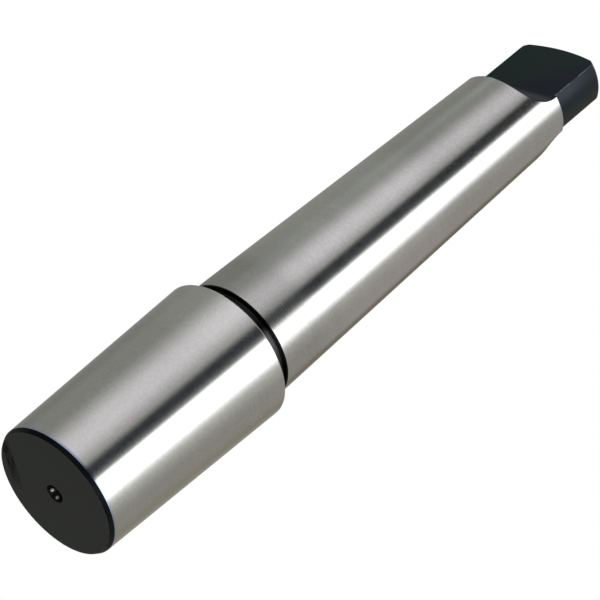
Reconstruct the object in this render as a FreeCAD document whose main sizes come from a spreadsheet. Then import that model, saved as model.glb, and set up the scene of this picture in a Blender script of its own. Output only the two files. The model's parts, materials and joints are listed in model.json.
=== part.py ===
# Drill chuck arbor: one bar of steel, turned, ground between centres and milled at the tang.
# It stands on its front face, with its axis along +Z and the tang on top.
# The flats of the tang face -Y and +Y. Lengths are in millimetres and angles in degrees.
import FreeCAD, Part
import math
import os
import Sketcher

NODE = "chuck_arbor"

SIZES = {
    "chuck_large_diameter": 28.35,  # chuck taper, at the shoulder
    "chuck_taper": 0.0502,  # loss of its diameter for each unit of length to the front face
    "chuck_length": 43.8,  # front face to the shoulder
    "front_chamfer_length": 0.8,  # chamfer round the front face, along the axis
    "front_chamfer_depth": 0.48,  # the same chamfer, across the axis
    "edge_break": 0.2,  # broken edge at each end of the ground cones
    "neck_depth": 1.05,  # depth of the relief, below the shank's large end
    "neck_width": 2.95,  # shoulder to the shank
    "neck_corner_radius": 0.4,  # nose radius of the tool that turned it
    "shank_large_diameter": 24.1,  # shank taper, at the relief
    "shank_taper": 0.0502,  # loss of its diameter for each unit of length to the tang
    "shank_length": 84.25,  # relief to the end of the ground cone
    "tang_relief": 0.6,  # how far the turned sides of the tang lie inside the cone's end
    "tang_length": 14.1,  # end of the ground cone to the top of the crown
    "tang_crown_radius": 32.0,  # radius of the crowned tip
    "tang_corner_radius": 1.6,  # rounding between the sides and the crown
    "tang_thickness": 7.75,  # distance between the milled flats
    "flat_overrun": 0.4,  # how far a level flat runs into the cone
    "flat_runout_radius": 6.9,  # radius of the cutter where a flat runs out
    "centre_mouth_diameter": 3.7,  # centre hole, where it opens
    "centre_pilot_diameter": 1.6,  # centre hole, where it is drilled
    "centre_pilot_length": 2.0,  # drilled stretch behind the countersink
    "centre_angle": 60.0,  # angle of the countersink
    "drill_point_angle": 118.0,  # angle of the point of the drill
}

# Heights on the axis, from the front face up.
SHOULDER = "Sizes.chuck_length"
SHANK_START = f"({SHOULDER} + Sizes.neck_width)"
CONE_END = f"({SHANK_START} + Sizes.shank_length)"
TIP = f"({CONE_END} + Sizes.tang_length)"


# The radius of the chuck taper at a height.
def chuck_radius(height):
    return f"(Sizes.chuck_large_diameter - Sizes.chuck_taper * (Sizes.chuck_length - {height})) / 2"


# The radius of the shank at a distance from its large end.
def shank_radius(distance):
    return f"(Sizes.shank_large_diameter - Sizes.shank_taper * {distance}) / 2"


CONE_END_RADIUS = shank_radius("Sizes.shank_length")
TANG_RADIUS = f"({CONE_END_RADIUS} - Sizes.tang_relief)"

# The rounding of the tang's rim has its centre inside the side by its own radius, and inside
# the crown by the same. CROWN_SINE and CROWN_COSINE give the direction from the crown's centre
# to that point.
CROWN_CENTRE = f"({TIP} - Sizes.tang_crown_radius)"
CROWN_REACH = "(Sizes.tang_crown_radius - Sizes.tang_corner_radius)"
CROWN_SINE = f"(({TANG_RADIUS} - Sizes.tang_corner_radius) / {CROWN_REACH})"
CROWN_COSINE = f"sqrt(1 - {CROWN_SINE} ^ 2)"


def add_sizes(doc):
    sheet = doc.addObject("Spreadsheet::Sheet", "Sizes")
    for row, (alias, number) in enumerate(SIZES.items(), start=1):
        sheet.set(f"A{row}", alias.replace("_", " "))
        sheet.set(f"B{row}", str(number))
        sheet.setAlias(f"B{row}", alias)
    doc.recompute()


def origin_part(body, role):
    return next(part for part in body.Origin.OriginFeatures if part.Role == role)


def new_sketch(body, name, plane):
    sketch = body.newObject("Sketcher::SketchObject", name)
    sketch.AttachmentSupport = [(origin_part(body, plane), "")]
    sketch.MapMode = "FlatFace"
    return sketch


# The short arc of a given radius that leads anticlockwise from one point to another.
def short_arc(start, end, radius):
    half = (end - start) / 2
    inward = FreeCAD.Vector(-half.y, half.x, 0).normalize()
    centre = start + half + inward * math.sqrt(max(radius**2 - half.Length**2, 0))
    arm = start - centre
    angle = math.atan2(arm.y, arm.x)
    turn = 2 * math.asin(min(half.Length / radius, 1))
    circle = Part.Circle(centre, FreeCAD.Vector(0, 0, 1), radius)
    return Part.ArcOfCircle(circle, angle, angle + turn)


# Holds the start of an edge at the place that two expressions give.
def tie_start(sketch, edge, across, along):
    vertical_axis, horizontal_axis = -2, -1
    ties = [("DistanceX", across, vertical_axis), ("DistanceY", along, horizontal_axis)]
    for kind, expression, axis in ties:
        if expression == "0":
            sketch.addConstraint(Sketcher.Constraint("PointOnObject", edge, 1, axis))
        else:
            number = float(sketch.evalExpression(expression))
            tie = sketch.addConstraint(Sketcher.Constraint(kind, -1, 1, edge, 1, number))
            sketch.setExpression(f"Constraints[{tie}]", expression)


def tie_radius(sketch, edge, expression):
    number = float(sketch.evalExpression(expression))
    tie = sketch.addConstraint(Sketcher.Constraint("Radius", edge, number))
    sketch.setExpression(f"Constraints[{tie}]", expression)


# Draws a closed outline, anticlockwise. Each corner is its distance from the axis and its
# height. A third item is the radius of an arc that leads on to the next corner.
def draw_outline(sketch, corners):
    points = [
        FreeCAD.Vector(*(float(sketch.evalExpression(text)) for text in corner[:2]), 0)
        for corner in corners
    ]
    following = points[1:] + points[:1]
    edges = []
    for corner, start, end in zip(corners, points, following):
        if len(corner) == 3:
            curve = short_arc(start, end, float(sketch.evalExpression(corner[2])))
        else:
            curve = Part.LineSegment(start, end)
        edges.append(sketch.addGeometry(curve, False))
    for edge, next_edge in zip(edges, edges[1:] + edges[:1]):
        sketch.addConstraint(Sketcher.Constraint("Coincident", edge, 2, next_edge, 1))
    for edge, corner in zip(edges, corners):
        tie_start(sketch, edge, corner[0], corner[1])
        for radius in corner[2:]:
            tie_radius(sketch, edge, radius)


def full_turn(body, kind, name, sketch):
    feature = body.newObject(kind, name)
    feature.Profile = sketch
    feature.ReferenceAxis = (origin_part(body, "Z_Axis"), [""])
    feature.Angle = 360
    return feature


# The bar as it leaves the lathe and the grinder: both cones, the shoulder and the round tang.
def turn_blank(body):
    sketch = new_sketch(body, "turned_profile", "XZ_Plane")
    chamfer_end = "Sizes.front_chamfer_length"
    corners = [
        ("0", "0"),
        (f"{chuck_radius(chamfer_end)} - Sizes.front_chamfer_depth", "0"),
        (chuck_radius(chamfer_end), chamfer_end),
        (chuck_radius(f"({SHOULDER} - Sizes.edge_break)"), f"{SHOULDER} - Sizes.edge_break"),
        ("Sizes.chuck_large_diameter / 2 - Sizes.edge_break", SHOULDER),
        ("Sizes.shank_large_diameter / 2 - Sizes.edge_break", SHOULDER),
        ("Sizes.shank_large_diameter / 2 - Sizes.edge_break", SHANK_START),
        (shank_radius("Sizes.edge_break"), f"{SHANK_START} + Sizes.edge_break"),
        (shank_radius("(Sizes.shank_length - Sizes.edge_break)"), f"{CONE_END} - Sizes.edge_break"),
        (f"{CONE_END_RADIUS} - Sizes.edge_break", CONE_END),
        (TANG_RADIUS, CONE_END),
        (TANG_RADIUS, f"{CROWN_CENTRE} + {CROWN_REACH} * {CROWN_COSINE}", "Sizes.tang_corner_radius"),
        (
            f"Sizes.tang_crown_radius * {CROWN_SINE}",
            f"{CROWN_CENTRE} + Sizes.tang_crown_radius * {CROWN_COSINE}",
            "Sizes.tang_crown_radius",
        ),
        ("0", TIP),
    ]
    draw_outline(sketch, corners)
    return full_turn(body, "PartDesign::Revolution", "turned_blank", sketch)


# The relief behind the shoulder, where the grinding wheel runs out.
def turn_neck(body):
    sketch = new_sketch(body, "neck_profile", "XZ_Plane")
    outside = "Sizes.shank_large_diameter"
    wall = "(Sizes.shank_large_diameter / 2 - Sizes.neck_depth)"
    nose = "Sizes.neck_corner_radius"
    corners = [
        (outside, SHANK_START),
        (f"{wall} + {nose}", SHANK_START, nose),
        (wall, f"{SHANK_START} - {nose}"),
        (wall, f"{SHOULDER} + {nose}", nose),
        (f"{wall} + {nose}", SHOULDER),
        (outside, SHOULDER),
    ]
    draw_outline(sketch, corners)
    return full_turn(body, "PartDesign::Groove", "neck", sketch)


# A centre hole: a countersink, a drilled stretch and the mark of the drill's point.
def drill_front_centre(body):
    sketch = new_sketch(body, "front_centre_profile", "XZ_Plane")
    countersink, bottom = centre_depths()
    corners = [
        ("0", "0"),
        ("Sizes.centre_mouth_diameter / 2", "0"),
        ("Sizes.centre_pilot_diameter / 2", countersink),
        ("Sizes.centre_pilot_diameter / 2", f"{countersink} + Sizes.centre_pilot_length"),
        ("0", bottom),
    ]
    draw_outline(sketch, corners)
    return full_turn(body, "PartDesign::Groove", "front_centre", sketch)


# The same in the tang's tip. Its mouth lies on the crown, and the cut starts a little above it.
def drill_tang_centre(body):
    sketch = new_sketch(body, "tang_centre_profile", "XZ_Plane")
    countersink, bottom = centre_depths()
    mouth_radius = "Sizes.centre_mouth_diameter / 2"
    mouth = f"({CROWN_CENTRE} + sqrt(Sizes.tang_crown_radius ^ 2 - ({mouth_radius}) ^ 2))"
    corners = [
        ("0", f"{mouth} + Sizes.edge_break"),
        ("0", f"{mouth} - ({bottom})"),
        ("Sizes.centre_pilot_diameter / 2", f"{mouth} - {countersink} - Sizes.centre_pilot_length"),
        ("Sizes.centre_pilot_diameter / 2", f"{mouth} - {countersink}"),
        (
            f"{mouth_radius} + Sizes.edge_break * tan(Sizes.centre_angle / 2)",
            f"{mouth} + Sizes.edge_break",
        ),
    ]
    draw_outline(sketch, corners)
    return full_turn(body, "PartDesign::Groove", "tang_centre", sketch)


# How deep the countersink and the whole centre hole reach.
def centre_depths():
    step = "(Sizes.centre_mouth_diameter - Sizes.centre_pilot_diameter) / 2"
    countersink = f"{step} / tan(Sizes.centre_angle / 2)"
    point = "Sizes.centre_pilot_diameter / 2 / tan(Sizes.drill_point_angle / 2)"
    return countersink, f"{countersink} + Sizes.centre_pilot_length + {point}"


# One flat of the tang. The cutter leaves its own radius where the flat runs out on the cone.
def mill_flat(body):
    sketch = new_sketch(body, "flat_profile", "YZ_Plane")
    flat = "Sizes.tang_thickness / 2"
    radius = "Sizes.flat_runout_radius"
    level_end = f"({CONE_END} - Sizes.flat_overrun)"
    outside = f"{flat} + {radius} + Sizes.shank_large_diameter / 2"
    clear_of_tip = f"{TIP} + Sizes.edge_break"
    corners = [
        (flat, clear_of_tip),
        (flat, level_end, radius),
        (f"{flat} + {radius}", f"{level_end} - {radius}"),
        (outside, f"{level_end} - {radius}"),
        (outside, clear_of_tip),
    ]
    draw_outline(sketch, corners)
    pocket = body.newObject("PartDesign::Pocket", "tang_flat")
    pocket.Profile = sketch
    pocket.SideType = "Symmetric"
    pocket.setExpression("Length", "Sizes.shank_large_diameter")
    return pocket


def mirror_flat(body, pocket):
    mirrored = body.newObject("PartDesign::Mirrored", "tang_flat_pair")
    mirrored.Originals = [pocket]
    mirrored.MirrorPlane = (origin_part(body, "XZ_Plane"), [""])
    body.Tip = mirrored
    return mirrored


def build_arbor(doc):
    body = doc.addObject("PartDesign::Body", NODE)
    body.Label = NODE
    stages = [turn_blank(body), turn_neck(body), drill_front_centre(body), drill_tang_centre(body)]
    stages.append(mill_flat(body))
    stages.append(mirror_flat(body, stages[-1]))
    doc.recompute()
    check_cuts(stages)
    return body


# Every stage after the blank has to take steel away.
def check_cuts(stages):
    for before, after in zip(stages, stages[1:]):
        if after.Shape.Volume >= before.Shape.Volume:
            raise RuntimeError(f"{after.Label} cuts nothing")


def check_document(doc):
    for item in doc.Objects:
        if "Invalid" in item.State or "Error" in item.State:
            raise RuntimeError(f"{item.Label} failed: {item.State}")


def check_solid(body):
    shape = body.Shape
    if shape.isNull() or not shape.isValid() or len(shape.Solids) != 1:
        raise RuntimeError(f"{body.Label} is not one valid solid")


def main():
    doc = FreeCAD.newDocument("drill_chuck_arbor")
    add_sizes(doc)
    arbor = build_arbor(doc)
    check_document(doc)
    check_solid(arbor)
    os.makedirs("parts", exist_ok=True)
    arbor.Shape.exportStep(f"parts/{arbor.Label}.step")
    box = arbor.Shape.BoundBox
    print(f"{arbor.Label}: {arbor.Shape.Volume:.1f} cubic millimetres")
    print(f"{box.XLength:.2f} by {box.YLength:.2f} by {box.ZLength:.2f}, from height {box.ZMin:.3f}")


main()
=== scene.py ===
import json
from math import acos, cos, degrees, hypot, pi, radians, sin, sqrt, tan

import bmesh
import bpy
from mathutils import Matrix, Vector

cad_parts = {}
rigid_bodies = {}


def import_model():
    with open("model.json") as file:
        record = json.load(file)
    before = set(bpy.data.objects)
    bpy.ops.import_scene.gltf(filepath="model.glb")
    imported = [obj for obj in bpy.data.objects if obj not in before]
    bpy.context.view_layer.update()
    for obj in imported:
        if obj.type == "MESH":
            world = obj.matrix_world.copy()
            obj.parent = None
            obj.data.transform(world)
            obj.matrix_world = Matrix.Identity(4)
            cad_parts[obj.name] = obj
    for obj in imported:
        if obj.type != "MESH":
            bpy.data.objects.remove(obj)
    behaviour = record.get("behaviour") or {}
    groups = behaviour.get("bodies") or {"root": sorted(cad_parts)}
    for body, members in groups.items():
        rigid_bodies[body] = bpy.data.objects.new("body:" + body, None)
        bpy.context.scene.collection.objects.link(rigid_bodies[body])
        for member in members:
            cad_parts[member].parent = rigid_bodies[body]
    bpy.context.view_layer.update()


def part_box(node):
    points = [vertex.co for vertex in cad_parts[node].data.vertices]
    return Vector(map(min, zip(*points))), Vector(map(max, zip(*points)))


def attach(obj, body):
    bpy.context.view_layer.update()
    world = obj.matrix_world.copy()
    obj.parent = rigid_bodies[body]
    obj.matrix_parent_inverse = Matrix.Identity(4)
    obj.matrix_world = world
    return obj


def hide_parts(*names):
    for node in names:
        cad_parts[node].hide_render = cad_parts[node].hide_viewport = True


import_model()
mm = 0.001
cadLow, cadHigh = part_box("chuck_arbor")
print("frame loaded, the arbor reaches from z", round(cadLow.z / mm, 2), "to", round(cadHigh.z / mm, 2), "mm")


class Socket:
    # wraps one output, so that shader maths is written as plain expressions
    def __init__(self, shader, out):
        self.shader = shader
        self.out = out

    def __add__(self, other):
        return self.shader.maths("ADD", self, other)

    def __radd__(self, other):
        return self.shader.maths("ADD", other, self)

    def __sub__(self, other):
        return self.shader.maths("SUBTRACT", self, other)

    def __rsub__(self, other):
        return self.shader.maths("SUBTRACT", other, self)

    def __mul__(self, other):
        return self.shader.maths("MULTIPLY", self, other)

    def __rmul__(self, other):
        return self.shader.maths("MULTIPLY", other, self)

    def __pow__(self, other):
        return self.shader.maths("POWER", self, other)

    def __rpow__(self, other):
        return self.shader.maths("POWER", other, self)

    def __abs__(self):
        return self.shader.maths("ABSOLUTE", self)


class Shader:
    # one node tree; node() makes any node, and the short forms below it use node()
    def __init__(self, tree):
        self.tree = tree
        tree.nodes.clear()

    def node(self, kind, settings=None, values=None, out=0):
        made = self.tree.nodes.new(kind)
        for name, setting in (settings or {}).items():
            setattr(made, name, setting)
        for name, value in (values or {}).items():
            self.feed(made.inputs[name], value)
        return Socket(self, made.outputs[out]) if len(made.outputs) else made

    def feed(self, slot, value):
        if isinstance(value, Socket):
            self.tree.links.new(value.out, slot)
        elif slot.type == "RGBA" and len(value) == 3:
            slot.default_value = (*value, 1)
        else:
            slot.default_value = value

    def maths(self, operation, first, second=None):
        values = {0: first} if second is None else {0: first, 1: second}
        return self.node("ShaderNodeMath", {"operation": operation}, values)

    def smooth(self, value, ends, unit=1):
        # from 0 at the first end to 1 at the second
        start, end = [edge * unit for edge in ends]
        values = {"Value": value, "From Min": start, "From Max": end}
        return self.node("ShaderNodeMapRange", {"interpolation_type": "SMOOTHSTEP"}, values)

    def between(self, value, ends, unit=1):
        # rises to 1 over the first two ends and falls back to 0 over the last two
        return self.smooth(value, ends[:2], unit) * (1 - self.smooth(value, ends[2:], unit))

    def noise(self, place, scale, detail=2.0, roughness=0.5):
        values = {"Vector": place, "Scale": scale, "Detail": detail, "Roughness": roughness}
        return self.node("ShaderNodeTexNoise", None, values)

    def mix(self, share, first, second, blend="MIX"):
        settings = {"data_type": "RGBA", "blend_type": blend}
        return self.node("ShaderNodeMix", settings, {0: share, 6: first, 7: second}, 2)

    def place(self):
        return self.node("ShaderNodeTexCoord", None, None, "Object")

    def axes(self, vector):
        return [self.node("ShaderNodeSeparateXYZ", None, {0: vector}, axis) for axis in range(3)]

    def vector(self, x, y, z):
        return self.node("ShaderNodeCombineXYZ", None, {"X": x, "Y": y, "Z": z})

    def grey(self, value):
        return self.vector(value, value, value)

    def turn(self, x, y):
        # degrees round the axis, from +X towards +Y
        return self.maths("ARCTAN2", y, x) * degrees(1)

    def fromAxis(self, x, y):
        return self.maths("SQRT", x * x + y * y)


def newMaterial(name):
    material = bpy.data.materials.new(name)
    material.use_nodes = True
    return material, Shader(material.node_tree)


def finishMaterial(shader, surface):
    shader.node("ShaderNodeOutputMaterial", None, {"Surface": surface})


# the marks of grinding and handling on the two cones
groundSteel = {
    "colour": (0.60, 0.60, 0.59),
    "endColour": (0.45, 0.525, 0.655),  # bluer beside the black face and the tang
    "endWidth": 0.65,
    "rimColour": (0.27, 0.335, 0.44),   # darker where the black finish laps over the front rim
    "rimAround": (-78, -64, -30, -8),
    "roughness": 0.2,
    "ringRoughness": 0.05,
    "waveRoughness": 0.03,
    "handledRoughness": 0.03,
    "anisotropy": 0.85,
    "anisotropyTurn": 0.25,             # in whole turns
    "ringsPerMetre": 5200,
    "waveRingsPerMetre": 420,
    "ringsRound": 45,
    "ringShade": 0.07,
    "waveShade": 0.08,
    "mottleSize": 260,
    "mottleShade": 0.05,
    "speckSize": 1900,
    "speckShade": 0.2,
    "handledSize": 38,
    "handledEnds": (0.55, 0.75),
    "handledShade": 0.02,
    "shankStep": (-1, 0),               # the marks of the shank start here, in mm from its start
    "dullEnd": (8, 12),                 # the shank is duller up to here, in mm from its start
    "dullShade": 0.155,
    "dullRoughness": 0.065,
    "keptAround": (-24, -8, 60, 110),   # these three shades are weaker on this side, in degrees
    "keptDull": 0.6,
    "keptDim": 0.55,
    "keptShoulder": 0.85,
    "brightEnds": (13, 18, 43, 50),     # and a little brighter along here
    "brightShade": 0.06,
    "dimStart": (43, 52),               # and a little darker from here to the tang
    "dimShade": 0.055,
    "shoulderEnds": (26, 45),           # the front cone brightens towards the shoulder
    "shoulderShade": 0.11,
    "bumpDepth": 0.0000004,
    "ringBump": 0.7,
    "waveBump": 0.3,
}


def makeGroundSteel(sizes):
    material, shader = newMaterial("groundSteel")
    steel = groundSteel
    place = shader.place()
    x, y, z = shader.axes(place)
    turn = shader.turn(x, y)
    around = steel["ringsRound"]
    fineRings = shader.noise(shader.vector(x * around, y * around, z * steel["ringsPerMetre"]), 1, 3, 0.6)
    waveRings = shader.noise(shader.vector(x * around, y * around, z * steel["waveRingsPerMetre"]), 1, 2)
    mottle = shader.noise(place, steel["mottleSize"], 4, 0.65)
    specks = shader.noise(place, steel["speckSize"], 2)
    handled = shader.smooth(shader.noise(place, steel["handledSize"], 3), steel["handledEnds"])
    shankStart = sizes["chuckLength"] + sizes["neckWidth"]
    along = z - shankStart * mm
    onShank = shader.smooth(along, steel["shankStep"], mm)
    kept = shader.between(turn, steel["keptAround"])
    dull = onShank * (1 - shader.smooth(along, steel["dullEnd"], mm)) * (1 - kept * steel["keptDull"])
    dim = shader.smooth(along, steel["dimStart"], mm) * (1 - kept * steel["keptDim"])
    nearShoulder = shader.smooth(z, steel["shoulderEnds"], mm) * (1 - onShank)
    nearShoulder = nearShoulder * (1 - kept * steel["keptShoulder"])
    bright = shader.between(along, steel["brightEnds"], mm)
    shade = (
        1
        - dull * steel["dullShade"]
        - dim * steel["dimShade"]
        + bright * steel["brightShade"]
        + nearShoulder * steel["shoulderShade"]
        + (fineRings - 0.5) * steel["ringShade"]
        + (waveRings - 0.5) * steel["waveShade"]
        + (mottle - 0.5) * steel["mottleShade"]
        + (specks - 0.5) * steel["speckShade"]
        - handled * steel["handledShade"]
    )
    nearEnd = 0
    for end in (sizes["frontChamferLength"], shankStart + sizes["shankLength"]):
        nearEnd = 1 - shader.smooth(abs(z - end * mm), (0, steel["endWidth"]), mm) + nearEnd
    colour = shader.mix(nearEnd, steel["colour"], steel["endColour"])
    overRim = shader.between(turn, steel["rimAround"]) * (1 - onShank)
    colour = shader.mix(nearEnd * overRim, colour, steel["rimColour"])
    colour = shader.mix(1.0, colour, shader.grey(shade), "MULTIPLY")
    roughness = (
        steel["roughness"]
        + (fineRings - 0.5) * steel["ringRoughness"]
        + (waveRings - 0.5) * steel["waveRoughness"]
        + handled * steel["handledRoughness"]
        + dull * steel["dullRoughness"]
    )
    bump = shader.node("ShaderNodeBump", None, {
        "Height": fineRings * steel["ringBump"] + waveRings * steel["waveBump"],
        "Distance": steel["bumpDepth"],
        "Strength": 1.0,
    })
    surface = shader.node("ShaderNodeBsdfPrincipled", None, {
        "Base Color": colour,
        "Metallic": 1.0,
        "Roughness": roughness,
        "Anisotropic": steel["anisotropy"],
        "Anisotropic Rotation": steel["anisotropyTurn"],
        "Normal": bump,
    })
    finishMaterial(shader, surface)
    return material


# the black finish, as each part of the arbor wears it
blackFinishes = {
    "face": {
        "colour": (0.0004, 0.0018, 0.0014),
        "tint": (0.0042, 0.0038, 0.0022),
        "specular": 0.33,
        "roughness": 0.36,
    },
    "chamfer": {
        "colour": (0.0003, 0.0024, 0.0040),
        "tint": (0.0058, 0.0076, 0.0072),
        "specular": 0.07,
        "roughness": 0.36,
    },
    "neck": {
        "colour": (0.0007, 0.0008, 0.0009),
        "tint": (0.0014, 0.0011, 0.0011),
        "specular": 0.22,
        "roughness": 0.24,
    },
    "centre": {
        "colour": (0.0006, 0.0006, 0.0006),
        "tint": (0.0010, 0.0010, 0.0010),
        "specular": 0.08,
        "roughness": 0.4,
    },
    "flat": {
        "colour": (0.0010, 0.0090, 0.0092),
        "tint": (0.0006, 0.0022, 0.0104),
        "specular": 0.125,
        "roughness": 0.36,
    },
    "side": {
        "colour": (0.0085, 0.0140, 0.0200),
        "tint": (0.0170, 0.0196, 0.0172),
        "specular": 0.14,
        "roughness": 0.45,
    },
}

blackMarks = {
    "blotchSize": 200,
    "blotchEnds": (0.35, 0.65),
    "blotchRoughness": 0.05,
    "grainSize": 5200,
    "grainRoughness": 0.08,
    "patchSize": 900,
    "patchEnds": (0.35, 0.6),
    "bumpDepth": 0.000004,
    "grainBump": 0.7,
    "turnedBump": 0.3,
    "turnedRings": 2600,                # turning marks for each metre of radius
    "turnedRoughness": 0.06,
    "chamferPaintedShade": (-112, -94, -12, 12),    # painted shade: the chamfer is darkest here, in degrees
    "rimWear": (0.034, 0.021, 0.011),   # brown where the face's rim is rubbed
    "rimWearFrom": (12.3, 12.6),
    "flatMiddle": 137,                  # the flats are bluer past a line that leans across them here
    "flatLean": 0.8,
    "flatWobble": 2,
    "flatBlue": (-1, 8),
    "edgeWear": (0.150, 0.160, 0.180),  # paler along the milled edges
    "edgeWearWidth": (0.06, 0.26),
    "sideSheen": (0.034, 0.040, 0.056), # painted sheen: bluer and paler beside the near flat
    "sideSheenAcross": (-3.0, -0.6),
    "sideSheenEnd": (134, 143),
    "sideSheenFade": 0.95,
    "sideGreen": (-0.6, 2.4),           # greener towards the far flat
    "neckPaintedSheen": (0.28, 0.285, 0.30),    # painted sheen on one side of the neck, broken by paler turning lines
    "neckSheenAround": (-38, -25, -20, 12),
    "neckSheenAlong": (1.0, 1.6, 2.45, 3.15),
    "neckLinesRound": 60,
    "neckLinesPerMetre": 7000,
    "neckLineEnds": (0.4, 0.6),
    "neckLineShare": (0.2, 0.4),        # of the painted sheen between the lines, and how much they add
    "smearPlace": -9.9,                 # a dull smear across the face, in mm
    "smearWidth": (0.7, 1.5),
    "smearEnds": (-8.9, -7.9, -1.5, 3.5),
    "smearColour": (0.0030, 0.0030, 0.0026),
    "smearFleck": (0.022, 0.023, 0.022),
    "smearRoughness": 0.9,
    "smearLines": (2600, 400),          # for each metre across and along the smear
    "smearLineEnds": (0.46, 0.6),
    "smearFlecks": (3600, 800),
    "smearFleckLayer": 0.02,
    "smearFleckEnds": (0.57, 0.66),
    "smearShare": (0.35, 0.6),
    "glintSteel": (0.36, 0.36, 0.35),  # painted glints: spots of bare steel, placed where the centre hole catches the light
    "glintSpots": ((-1.42, 0.19, 0.70), (-0.44, 1.50, 0.60)),
    "glintSize": (0.16, 0.42),
    "glintRoughness": 0.3,
    "glintGrainSize": 7000,
    "glintGrainEnds": (0.25, 0.55),
}


def makeBlackFinish(name, sizes):
    material, shader = newMaterial(name + "Finish")
    finish = blackFinishes[name]
    marks = blackMarks
    place = shader.place()
    x, y, z = shader.axes(place)
    fromAxis = shader.fromAxis(x, y)
    blotchAndShade = shader.smooth(shader.noise(place, marks["blotchSize"], 3), marks["blotchEnds"])
    if name == "flat":
        across = x - (z - marks["flatMiddle"] * mm) * marks["flatLean"]
        blotchAndShade = shader.smooth(across + (blotchAndShade - 0.5) * marks["flatWobble"] * mm, marks["flatBlue"], mm)
    if name == "side":
        blotchAndShade = shader.smooth(y, marks["sideGreen"], mm)
    # on the chamfer the mix follows a painted shade round the axis instead of blotches
    if name == "chamfer":
        blotchAndShade = 1 - shader.between(shader.turn(x, y), marks["chamferPaintedShade"])
    grain = shader.noise(place, marks["grainSize"], 3, 0.6)
    colour = shader.mix(blotchAndShade, finish["colour"], finish["tint"])
    patchy = shader.smooth(shader.noise(place, marks["patchSize"], 3, 0.6), marks["patchEnds"])
    if name == "face":
        rim = shader.smooth(fromAxis, marks["rimWearFrom"], mm) * patchy
        colour = shader.mix(rim, colour, marks["rimWear"])
    if name == "neck":
        colour = addNeckSheen(shader, colour, sizes, x, y, z)
    if name == "side":
        colour = addSideSheenAndWear(shader, colour, sizes, y, z, fromAxis, patchy)
    perMetre = marks["turnedRings"]
    rings = shader.noise(shader.vector(fromAxis * perMetre, 0.0, z * perMetre), 1, 2)
    roughness = (
        finish["roughness"]
        + (blotchAndShade - 0.5) * marks["blotchRoughness"]
        + (grain - 0.5) * marks["grainRoughness"]
        + (rings - 0.5) * marks["turnedRoughness"]
    )
    bump = shader.node("ShaderNodeBump", None, {
        "Height": grain * marks["grainBump"] + rings * marks["turnedBump"],
        "Distance": marks["bumpDepth"],
    })
    surface = shader.node("ShaderNodeBsdfPrincipled", None, {
        "Base Color": colour,
        "Roughness": roughness,
        "Specular IOR Level": finish["specular"],
        "Normal": bump,
    })
    if name == "face":
        surface = addSmear(shader, surface, x, y)
    if name == "centre":
        surface = addGlintSpots(shader, surface, place)
    finishMaterial(shader, surface)
    return material


def addNeckSheen(shader, colour, sizes, x, y, z):
    marks = blackMarks
    # painted sheen: paler on one arc of the neck, broken into real turning lines
    sheenArc = shader.between(shader.turn(x, y), marks["neckSheenAround"])
    around = marks["neckLinesRound"]
    lines = shader.noise(shader.vector(x * around, y * around, z * marks["neckLinesPerMetre"]), 1, 2)
    lines = shader.smooth(lines, marks["neckLineEnds"])
    along = shader.between(z, [sizes["chuckLength"] + part for part in marks["neckSheenAlong"]], mm)
    least, more = marks["neckLineShare"]
    return shader.mix(sheenArc * along * (least + lines * more), colour, marks["neckPaintedSheen"])


def addSideSheenAndWear(shader, colour, sizes, y, z, fromAxis, patchy):
    marks = blackMarks
    # painted sheen beside the near flat, fading towards the tip; then real wear along the milled edges
    sheen = 1 - shader.smooth(y, marks["sideSheenAcross"], mm)
    fading = 1 - shader.smooth(z, marks["sideSheenEnd"], mm) * marks["sideSheenFade"]
    colour = shader.mix(sheen * fading, colour, marks["sideSheen"])
    flat = sizes["tangThickness"] / 2
    coneEndRadius = sizes["shankLargeDiameter"] / 2 - sizes["taper"] / 2 * sizes["shankLength"]
    side = coneEndRadius - sizes["tangRelief"]
    nearFlat = 1 - shader.smooth(abs(abs(y) - flat * mm), marks["edgeWearWidth"], mm)
    nearSide = 1 - shader.smooth(abs(fromAxis - side * mm), marks["edgeWearWidth"], mm)
    return shader.mix(nearFlat * nearSide * patchy, colour, marks["edgeWear"])


def addSmear(shader, surface, x, y):
    # fine dull lines, wiped straight across one side of the face
    marks = blackMarks
    offLine = abs(x - marks["smearPlace"] * mm)
    length = shader.between(y, marks["smearEnds"], mm)
    across, along = marks["smearLines"]
    lines = shader.noise(shader.vector(x * across, y * along, 0.0), 1, 3, 0.6)
    lines = shader.smooth(lines, marks["smearLineEnds"])
    across, along = marks["smearFlecks"]
    flecks = shader.noise(shader.vector(x * across, y * along, marks["smearFleckLayer"]), 1, 2)
    flecks = shader.smooth(flecks, marks["smearFleckEnds"])
    smear = (1 - shader.smooth(offLine, marks["smearWidth"], mm)) * length
    dull = shader.node("ShaderNodeBsdfPrincipled", None, {
        "Base Color": shader.mix(flecks, marks["smearColour"], marks["smearFleck"]),
        "Roughness": marks["smearRoughness"],
        "Specular IOR Level": 0.0,
    })
    least, more = marks["smearShare"]
    share = smear * (least + more * shader.maths("MAXIMUM", lines, flecks))
    return shader.node("ShaderNodeMixShader", None, {0: share, 1: surface, 2: dull})


def addGlintSpots(shader, surface, place):
    marks = blackMarks
    # painted glints: bare steel on two spots of the centre hole, broken up by grain
    glintShare = 0
    for spot in marks["glintSpots"]:
        centre = tuple(part * mm for part in spot)
        away = shader.node("ShaderNodeVectorMath", {"operation": "DISTANCE"}, {0: place, 1: centre}, "Value")
        glintShare = 1 - shader.smooth(away, marks["glintSize"], mm) + glintShare
    grain = shader.noise(place, marks["glintGrainSize"], 2)
    glintShare = glintShare * shader.smooth(grain, marks["glintGrainEnds"])
    steel = shader.node("ShaderNodeBsdfPrincipled", None, {
        "Base Color": marks["glintSteel"],
        "Metallic": 1.0,
        "Roughness": marks["glintRoughness"],
    })
    return shader.node("ShaderNodeMixShader", None, {0: glintShare, 1: surface, 2: steel})


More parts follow.
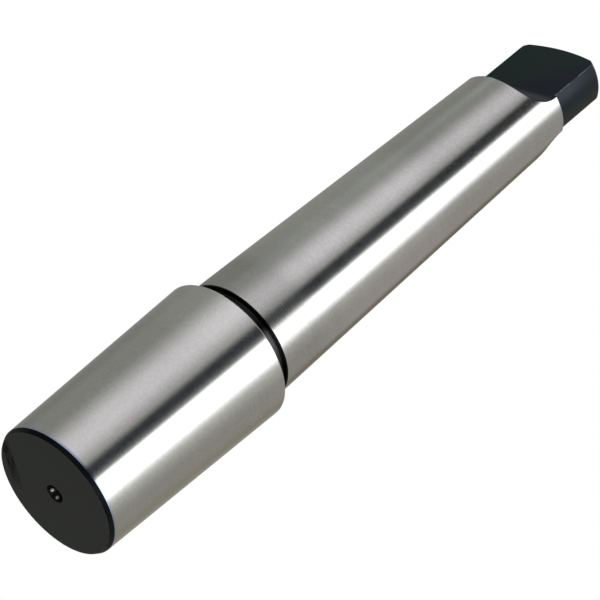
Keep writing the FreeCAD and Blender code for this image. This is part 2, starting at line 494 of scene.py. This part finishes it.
# what is turned and milled, in mm, z up from the front face
arbor = {
    "length": 145.1,            # front face to the top of the crown, before its centre is drilled
    "chuckLargeDiameter": 28.35,
    "shankLargeDiameter": 24.1,
    "taper": 0.0502,            # loss of diameter for each mm of length, on both cones
    "chuckLength": 43.8,
    "shankLength": 84.25,
    "neckWidth": 2.95,
    "neckDiameter": 22.0,
    "neckCorner": 0.4,
    "frontChamferLength": 0.8,
    "frontChamferDepth": 0.48,
    "edgeBreak": 0.2,
    "tangRelief": 0.6,
    "tangCrown": 32.0,          # radius of the crowned tip
    "tangCorner": 1.6,
    "tangThickness": 7.75,
    "flatOverrun": 0.4,         # the flats start this far below the cone's end
    "runoutRadius": 6.9,
    "centreMouth": 3.7,
    "centrePilot": 1.6,
    "centrePilotLength": 2.0,
    "centreAngle": 60,
    "drillPoint": 118,
    "softEdge": 0.05,           # rounding that tumbling and handling leave on turned edges
    "softEdgeSteps": 2,
    "cornerSteps": 12,
    "crownSteps": 12,
    "cutterSteps": 48,
    "cutterReach": 2,           # the cutters go this far past the tip
    "holdingLoop": 0.12,        # loops this close to an edge keep the long faces' shading straight
    "ringSpacing": 3.0,         # the cones are divided lengthwise about this often
    "cutRingSpacing": 0.7,      # and this often where the run-out cuts them
    "cutRingLength": 8.5,       # which is at most this far from the cone's end
    "longEdge": 20,             # only an edge longer than this is split there
    "segments": 288,
    "weld": 0.0005,             # points closer than this are merged after the spin
    "cutWeld": 0.002,           # and after the cuts
    "sharpAngle": 30,           # degrees; sharper edges are shaded as edges
    "groundSkin": 0.16,         # a face this close to its cone is ground
    "skinGap": 0.02,            # slack in telling where a face lies
    "facing": 0.6,              # least share of its normal with which a face looks some way
    "facingFront": 0.9,
}


def centreHole(sizes):
    # (radius, depth) corners of a centre hole, from its drilled point to its mouth
    mouth = sizes["centreMouth"] / 2
    pilot = sizes["centrePilot"] / 2
    sinkDepth = (mouth - pilot) / tan(radians(sizes["centreAngle"] / 2))
    pilotDepth = sinkDepth + sizes["centrePilotLength"]
    pointDepth = pilotDepth + pilot / tan(radians(sizes["drillPoint"] / 2))
    return [(0, pointDepth), (pilot, pilotDepth), (pilot, sinkDepth), (mouth, 0)]


def turnedOutline(sizes):
    # corners (radius, height, rounding) of the blank, from the front centre to the tang's centre
    soft = sizes["softEdge"]
    slope = sizes["taper"] / 2
    shoulder = sizes["chuckLength"]
    shankStart = shoulder + sizes["neckWidth"]
    coneEnd = shankStart + sizes["shankLength"]
    chuckRadius = sizes["chuckLargeDiameter"] / 2
    shankRadius = sizes["shankLargeDiameter"] / 2
    endRadius = shankRadius - slope * sizes["shankLength"]
    edge = sizes["edgeBreak"]
    tangRadius = endRadius - sizes["tangRelief"]
    crown = sizes["tangCrown"]
    crownCentre = sizes["length"] - crown
    chamferEnd = sizes["frontChamferLength"]
    chamferRadius = chuckRadius - slope * (shoulder - chamferEnd)
    holes = centreHole(sizes)
    mouth = holes[3][0]
    tip = crownCentre + sqrt(crown ** 2 - mouth ** 2)
    corners = [(radius, depth, 0) for radius, depth in holes[:3]]
    corners += [
        (mouth, 0, soft),
        (chamferRadius - sizes["frontChamferDepth"], 0, soft),
        (chamferRadius, chamferEnd, soft),
        (chuckRadius - slope * edge, shoulder - edge, soft),
        (chuckRadius - edge, shoulder, soft),
        (sizes["neckDiameter"] / 2, shoulder, sizes["neckCorner"]),
        (sizes["neckDiameter"] / 2, shankStart, sizes["neckCorner"]),
        (shankRadius - edge, shankStart, soft),
        (shankRadius - slope * edge, shankStart + edge, soft),
        (endRadius + slope * edge, coneEnd - edge, soft),
        (endRadius - edge, coneEnd, soft),
        (tangRadius, coneEnd, 0),
    ]
    reach = crown - sizes["tangCorner"]
    rim = acos((tangRadius - sizes["tangCorner"]) / reach)      # the crown's rim, up from level
    rimHeight = crownCentre + reach * sin(rim)
    steps = sizes["crownSteps"]
    for step in range(steps + 1):
        angle = rim * step / steps
        corners.append((
            tangRadius - sizes["tangCorner"] * (1 - cos(angle)),
            rimHeight + sizes["tangCorner"] * sin(angle),
            0,
        ))
    top = acos(mouth / crown)
    for step in range(1, steps):
        angle = rim + (top - rim) * step / steps
        corners.append((crown * cos(angle), crownCentre + crown * sin(angle), 0))
    corners.append((mouth, tip, soft))
    corners += [(radius, tip - depth, 0) for radius, depth in reversed(holes[:3])]
    return corners


def roundCorner(outline, vertex, size, steps):
    # size is the distance along the edges from the corner to the rounding's ends
    bmesh.ops.bevel(
        outline, geom=[vertex], offset=size, offset_type="OFFSET", segments=steps,
        profile=0.5, affect="VERTICES", material=-1, clamp_overlap=False,
    )


def divideEdge(outline, edge, spacing):
    cuts = int(edge.calc_length() / spacing)
    if cuts > 0:
        bmesh.ops.subdivide_edges(outline, edges=[edge], cuts=cuts)


def holdEdge(outline, edge, gap):
    # one vertex near each end of a long edge
    length = edge.calc_length()
    if length < 4 * gap:
        return
    near, far = edge.verts
    _, middle = bmesh.utils.edge_split(edge, near, gap / length)
    rest = outline.edges.get((middle, far))
    bmesh.utils.edge_split(rest, far, gap / rest.calc_length())


def makeBlank(sizes):
    # the turned blank, spun from its outline
    blank = bmesh.new()
    corners = turnedOutline(sizes)
    vertices = [blank.verts.new((radius * mm, 0, height * mm)) for radius, height, _ in corners]
    for first, second in zip(vertices, vertices[1:]):
        blank.edges.new((first, second))
    for vertex, (_, _, rounding) in zip(vertices, corners):
        if rounding:
            steps = sizes["softEdgeSteps"] if rounding == sizes["softEdge"] else sizes["cornerSteps"]
            roundCorner(blank, vertex, rounding * mm, steps)
    gap = sizes["holdingLoop"] * mm
    for edge in list(blank.edges):
        holdEdge(blank, edge, gap)
    coneEnd = sizes["chuckLength"] + sizes["neckWidth"] + sizes["shankLength"]
    cutStart = (coneEnd - sizes["cutRingLength"]) * mm
    for edge in list(blank.edges):
        lower, upper = sorted(edge.verts, key=lambda v: v.co.z)
        if lower.co.z < cutStart < upper.co.z and edge.calc_length() > sizes["longEdge"] * mm:
            first, second = edge.verts
            share = (cutStart - first.co.z) / (second.co.z - first.co.z)
            bmesh.utils.edge_split(edge, first, share)
    for edge in list(blank.edges):
        inCut = min(v.co.z for v in edge.verts) > cutStart - gap
        divideEdge(blank, edge, (sizes["cutRingSpacing"] if inCut else sizes["ringSpacing"]) * mm)
    bmesh.ops.spin(
        blank, geom=blank.verts[:] + blank.edges[:], cent=(0, 0, 0), axis=(0, 0, 1),
        angle=2 * pi, steps=sizes["segments"], use_merge=True,
    )
    bmesh.ops.remove_doubles(blank, verts=blank.verts[:], dist=sizes["weld"] * mm)
    bmesh.ops.recalc_face_normals(blank, faces=blank.faces[:])
    return blank


def makeCutter(sizes, side):
    # what the milling cutter takes away on one side: the flat, its run-out, and the air beyond
    cutter = bmesh.new()
    flat = sizes["tangThickness"] / 2 * mm
    radius = sizes["runoutRadius"] * mm
    coneEnd = sizes["chuckLength"] + sizes["neckWidth"] + sizes["shankLength"]
    start = (coneEnd - sizes["flatOverrun"]) * mm
    top = (sizes["length"] + sizes["cutterReach"]) * mm
    wide = sizes["chuckLargeDiameter"] * mm
    outer = flat + wide
    corner = cutter.verts.new((-wide / 2, flat, start))
    bmesh.ops.spin(
        cutter, geom=[corner], cent=(0, flat + radius, start), axis=(1, 0, 0),
        angle=pi / 2, steps=sizes["cutterSteps"],
    )
    loop = sorted(cutter.verts, key=lambda v: v.co.y)
    for place in ((-wide / 2, outer, start - radius), (-wide / 2, outer, top), (-wide / 2, flat, top)):
        loop.append(cutter.verts.new(place))
    for edge in list(cutter.edges):
        cutter.edges.remove(edge)
    face = cutter.faces.new(loop)
    grown = bmesh.ops.extrude_face_region(cutter, geom=[face])
    moved = [part for part in grown["geom"] if isinstance(part, bmesh.types.BMVert)]
    bmesh.ops.translate(cutter, verts=moved, vec=(wide, 0, 0))
    bmesh.ops.scale(cutter, verts=cutter.verts[:], vec=(1, side, 1))
    bmesh.ops.recalc_face_normals(cutter, faces=cutter.faces[:])
    return cutter


def meshObject(name, shape):
    mesh = bpy.data.meshes.new(name)
    shape.to_mesh(mesh)
    shape.free()
    made = bpy.data.objects.new(name, mesh)
    bpy.context.scene.collection.objects.link(made)
    return made


def cutAway(body, cutter):
    # cuts body's mesh with cutter and removes the cutter
    boolean = body.modifiers.new("cut", "BOOLEAN")
    boolean.operation = "DIFFERENCE"
    boolean.solver = "EXACT"
    boolean.object = cutter
    graph = bpy.context.evaluated_depsgraph_get()
    cut = bpy.data.meshes.new_from_object(body.evaluated_get(graph))
    body.modifiers.clear()
    body.data = cut
    bpy.data.objects.remove(cutter)


def finishIndex(sizes, face):
    # 0 for the two ground cones, and then the black finishes in their order
    names = list(blackFinishes)
    slope = sizes["taper"] / 2
    shoulder = sizes["chuckLength"]
    shankStart = shoulder + sizes["neckWidth"]
    coneEnd = shankStart + sizes["shankLength"]
    centre = face.calc_center_median() / mm
    radius = hypot(centre.x, centre.y)
    outward = Vector((centre.x, centre.y, 0)).normalized()
    gap = sizes["skinGap"]
    if radius < sizes["centreMouth"] / 2 + gap:
        return 1 + names.index("centre")
    onChuck = sizes["frontChamferLength"] < centre.z < shoulder
    onShank = shankStart + sizes["edgeBreak"] < centre.z < coneEnd
    if onChuck:
        skin = sizes["chuckLargeDiameter"] / 2 - slope * (shoulder - centre.z)
    else:
        skin = sizes["shankLargeDiameter"] / 2 - slope * (centre.z - shankStart)
    facesOut = face.normal.dot(outward) > sizes["facing"]
    if (onChuck or onShank) and facesOut and abs(radius - skin) < sizes["groundSkin"]:
        return 0
    if centre.z > coneEnd - 2 * sizes["runoutRadius"]:
        facesAcross = abs(face.normal.y) > sizes["facing"]
        inside = abs(centre.x) < radius - gap and centre.z < sizes["length"] - gap
        onFlat = abs(abs(centre.y) - sizes["tangThickness"] / 2) < gap or centre.z < coneEnd - gap
        return 1 + names.index("flat" if facesAcross and inside and onFlat else "side")
    if centre.z > shoulder / 2:
        return 1 + names.index("neck")
    return 1 + names.index("face" if face.normal.z < -sizes["facingFront"] else "chamfer")


def makeArborBody(sizes):
    body = meshObject("arborBody", makeBlank(sizes))
    for side in (1, -1):
        cutAway(body, meshObject("cutter", makeCutter(sizes, side)))
    shape = bmesh.new()
    shape.from_mesh(body.data)
    bmesh.ops.remove_doubles(shape, verts=shape.verts[:], dist=sizes["cutWeld"] * mm)
    counts = [0] * (len(blackFinishes) + 1)
    for face in shape.faces:
        face.material_index = finishIndex(sizes, face)
        face.smooth = True
        counts[face.material_index] += 1
    for edge in shape.edges:
        if len(edge.link_faces) == 2:
            edge.smooth = edge.calc_face_angle() < radians(sizes["sharpAngle"])
    openEdges = sum(1 for edge in shape.edges if len(edge.link_faces) != 2)
    print("arbor body:", len(shape.faces), "faces, by finish", counts, "and", openEdges, "open edges")
    shape.to_mesh(body.data)
    shape.free()
    return body


# The studio: a tent of cards, seen only in reflections, and plain lamps for everything else.
# The chuck taper mirrors the low ring of cards and the shank the high one. Azimuths are in
# degrees and start and end softly.
tent = {
    "radius": 2.0,
    "height": 8.0,
    "steps": 96,
    "ringBreak": (1.19, 1.32),          # metres up the wall, between the two rings
    "floorBreak": (0.1, 0.5),
    "belowWall": (0.30, 0.315, 0.30),   # the low part of the wall, which the front face mirrors
    "behind": (90, 115),                # it begins at this azimuth on either side
    "ceilingBreak": (2.0, 2.5),
    "ceiling": (1.2, 1.5, 1.4),         # added high up over the flats
    "ceilingAcross": (-166, -156, -144, -134),
    "lowRing": {
        "wall": (0.318, 0.324, 0.298),
        "backWall": (0.260, 0.265, 0.242),
        "backStart": (150, 174),
        "overhead": (0.93, 0.905, 0.925),
        "overheadRise": (-127, -85),
        "overheadFall": (-75, -36.5),
        "flag": (0.036, 0.042, 0.053),  # the black card between the pale wall and the bright panel
        "flagStart": (-48.1, -37.9),
        "flagEnd": (-31, -18.5),
        "panel": 1.8,
        "panelStart": (-21.9, -17.4),
        "panelEnd": (1.5, 25.5),
        "glow": 0.72,                   # what the panel throws on the wall beside it
        "glowEnd": (8, 84),
        "glowFall": 4,
        "warmWall": (0.36, 0.346, 0.313),
        "warmStart": (14, 60),
        "warmEnd": (120, 138),
        "dusk": (0.318, 0.298, 0.240),
        "duskStart": (66, 98),
        "duskEnd": (102, 114),
    },
    "highRing": {
        "wall": (0.320, 0.325, 0.302),
        "backWall": (0.330, 0.325, 0.298),
        "backStart": (150, 174),
        "overhead": (0.80, 0.78, 0.80),
        "overheadRise": (-114, -76),
        "overheadFall": (-69, -38),
        "flag": (0.020, 0.024, 0.026),
        "flagStart": (-48.5, -38),
        "flagEnd": (-22.5, -14.5),
        "panel": 1.8,
        "panelStart": (-18.8, -13.7),
        "panelEnd": (8, 27.6),
        "glow": 0.1,
        "glowEnd": (20, 75),
        "glowFall": 2,
        "warmWall": (0.412, 0.382, 0.358),
        "warmStart": (14, 60),
        "warmEnd": (104, 120),
        "dusk": (0.160, 0.146, 0.100),
        "duskStart": (88, 106),
        "duskEnd": (112, 126),
    },
}

studio = {
    "ambient": 0.5,
    "floorColour": (0.9, 0.9, 0.9),
    "floorRadius": 6.0,
    "floorSteps": 96,
    "floorFade": (0.15, 0.9),           # metres from the arbor over which it turns plain white
    "floorDrop": 0.0002,
    "lamps": {                          # place, size of the disc and power
        "overhead": ((-0.35, -1.1, 0.9), 0.8, 6.0),
        "side": ((1.3, 0.1, 0.4), 0.8, 4.0),
        "below": ((0.5, -0.6, -1.2), 0.9, 4.0),
    },
}


def cardRing(shader, turn, ring):
    # the colour round one ring of the tent, by azimuth
    colour = shader.mix(shader.smooth(abs(turn), ring["backStart"]), ring["wall"], ring["backWall"])
    warm = shader.between(turn, ring["warmStart"] + ring["warmEnd"])
    colour = shader.mix(warm, colour, ring["warmWall"])
    dusk = shader.between(turn, ring["duskStart"] + ring["duskEnd"])
    colour = shader.mix(dusk, colour, ring["dusk"])
    overhead = shader.between(turn, ring["overheadRise"] + ring["overheadFall"])
    colour = shader.mix(overhead, colour, ring["overhead"])
    fading = 1 - shader.smooth(turn, ring["glowEnd"])
    glow = fading ** ring["glowFall"] * shader.smooth(turn, ring["panelStart"]) * ring["glow"]
    colour = shader.mix(1.0, colour, shader.grey(glow), "ADD")
    flag = shader.between(turn, ring["flagStart"] + ring["flagEnd"])
    colour = shader.mix(flag, colour, ring["flag"])
    panel = shader.between(turn, ring["panelStart"] + ring["panelEnd"]) * ring["panel"]
    return shader.mix(1.0, colour, shader.grey(panel), "ADD")


def makeTent():
    shape = bmesh.new()
    foot = shape.verts.new((tent["radius"], 0, -tent["height"] / 2))
    head = shape.verts.new((tent["radius"], 0, tent["height"] / 2))
    edge = shape.edges.new((foot, head))
    bmesh.ops.spin(
        shape, geom=[foot, head, edge], cent=(0, 0, 0), axis=(0, 0, 1),
        angle=2 * pi, steps=tent["steps"], use_merge=True,
    )
    wall = meshObject("tent", shape)
    material, shader = newMaterial("tentCards")
    x, y, z = shader.axes(shader.place())
    turn = shader.turn(x, y)
    lowRing = cardRing(shader, turn, tent["lowRing"])
    highRing = cardRing(shader, turn, tent["highRing"])
    colour = shader.mix(shader.smooth(z, tent["ringBreak"]), lowRing, highRing)
    below = (1 - shader.smooth(z, tent["floorBreak"])) * shader.smooth(abs(turn), tent["behind"])
    colour = shader.mix(below, colour, tent["belowWall"])
    ceiling = shader.between(turn, tent["ceilingAcross"]) * shader.smooth(z, tent["ceilingBreak"])
    colour = shader.mix(ceiling, colour, tent["ceiling"], "ADD")
    finishMaterial(shader, shader.node("ShaderNodeEmission", None, {"Color": colour, "Strength": 1.0}))
    material.cycles.emission_sampling = "NONE"
    wall.data.materials.append(material)
    for way in ("camera", "diffuse", "transmission", "volume_scatter", "shadow"):
        setattr(wall, "visible_" + way, False)


def makeFloor():
    shape = bmesh.new()
    bmesh.ops.create_circle(
        shape, cap_ends=True, radius=studio["floorRadius"], segments=studio["floorSteps"],
    )
    bmesh.ops.translate(shape, verts=shape.verts[:], vec=(0, 0, -studio["floorDrop"]))
    floor = meshObject("floor", shape)
    material, shader = newMaterial("paleFloor")
    x, y, _ = shader.axes(shader.place())
    fromAbove = 1 - shader.node("ShaderNodeNewGeometry", None, None, "Backfacing")
    seen = shader.node("ShaderNodeLightPath", None, None, "Is Camera Ray") * fromAbove
    pale = shader.node("ShaderNodeBsdfDiffuse", None, {"Color": studio["floorColour"]})
    white = shader.node("ShaderNodeEmission", None, {"Color": (1, 1, 1), "Strength": 1.0})
    fade = shader.smooth(shader.fromAxis(x, y), studio["floorFade"])
    surface = shader.node("ShaderNodeMixShader", None, {0: fade, 1: pale, 2: white})
    clear = shader.node("ShaderNodeBsdfTransparent")
    finishMaterial(shader, shader.node("ShaderNodeMixShader", None, {0: seen, 1: clear, 2: surface}))
    material.cycles.emission_sampling = "NONE"
    floor.data.materials.append(material)


def makeLamp(name, place, size, power):
    data = bpy.data.lights.new(name, "AREA")
    data.shape = "DISK"
    data.size = size
    data.energy = power
    lamp = bpy.data.objects.new(name, data)
    lamp.location = place
    middle = Vector((0, 0, cadHigh.z / 2))
    lamp.rotation_mode = "QUATERNION"
    lamp.rotation_quaternion = (middle - lamp.location).to_track_quat("-Z", "Y")
    lamp.visible_glossy = False
    bpy.context.scene.collection.objects.link(lamp)


def makeWorld():
    world = bpy.data.worlds.new("studioWorld")
    world.use_nodes = True
    bpy.context.scene.world = world
    shader = Shader(world.node_tree)
    seen = shader.node("ShaderNodeLightPath", None, None, "Is Camera Ray")
    for ray in ("Is Glossy Ray", "Is Transmission Ray"):
        seen = shader.maths("MAXIMUM", seen, shader.node("ShaderNodeLightPath", None, None, ray))
    strength = studio["ambient"] + seen * (1 - studio["ambient"])
    background = shader.node("ShaderNodeBackground", None, {"Color": (1, 1, 1), "Strength": strength})
    shader.node("ShaderNodeOutputWorld", None, {"Surface": background})


# the photographer's place, in mm and degrees, as the picture of 600 x 600 shows it
camera = {
    "place": (332.247, -302.612, -222.612),
    "turn": (134.6554, -40.289, 14.9014),
    "lens": 176.355,
    "sensor": 36.0,
    "clip": (0.01, 50),         # metres
}


def makeCamera():
    data = bpy.data.cameras.new("camera")
    data.lens = camera["lens"]
    data.sensor_width = camera["sensor"]
    data.clip_start, data.clip_end = camera["clip"]
    made = bpy.data.objects.new("camera", data)
    made.location = Vector(camera["place"]) * mm
    made.rotation_euler = [radians(angle) for angle in camera["turn"]]
    bpy.context.scene.collection.objects.link(made)
    bpy.context.scene.camera = made


body = makeArborBody(arbor)
body.data.materials.append(makeGroundSteel(arbor))
for finishName in blackFinishes:
    body.data.materials.append(makeBlackFinish(finishName, arbor))
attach(body, "root")
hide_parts("chuck_arbor")
print("arbor finished")

makeTent()
makeFloor()
for lampName, (place, size, power) in studio["lamps"].items():
    makeLamp(lampName, place, size, power)
makeWorld()
makeCamera()
bpy.context.scene.view_settings.view_transform = "Standard"
print("studio set")
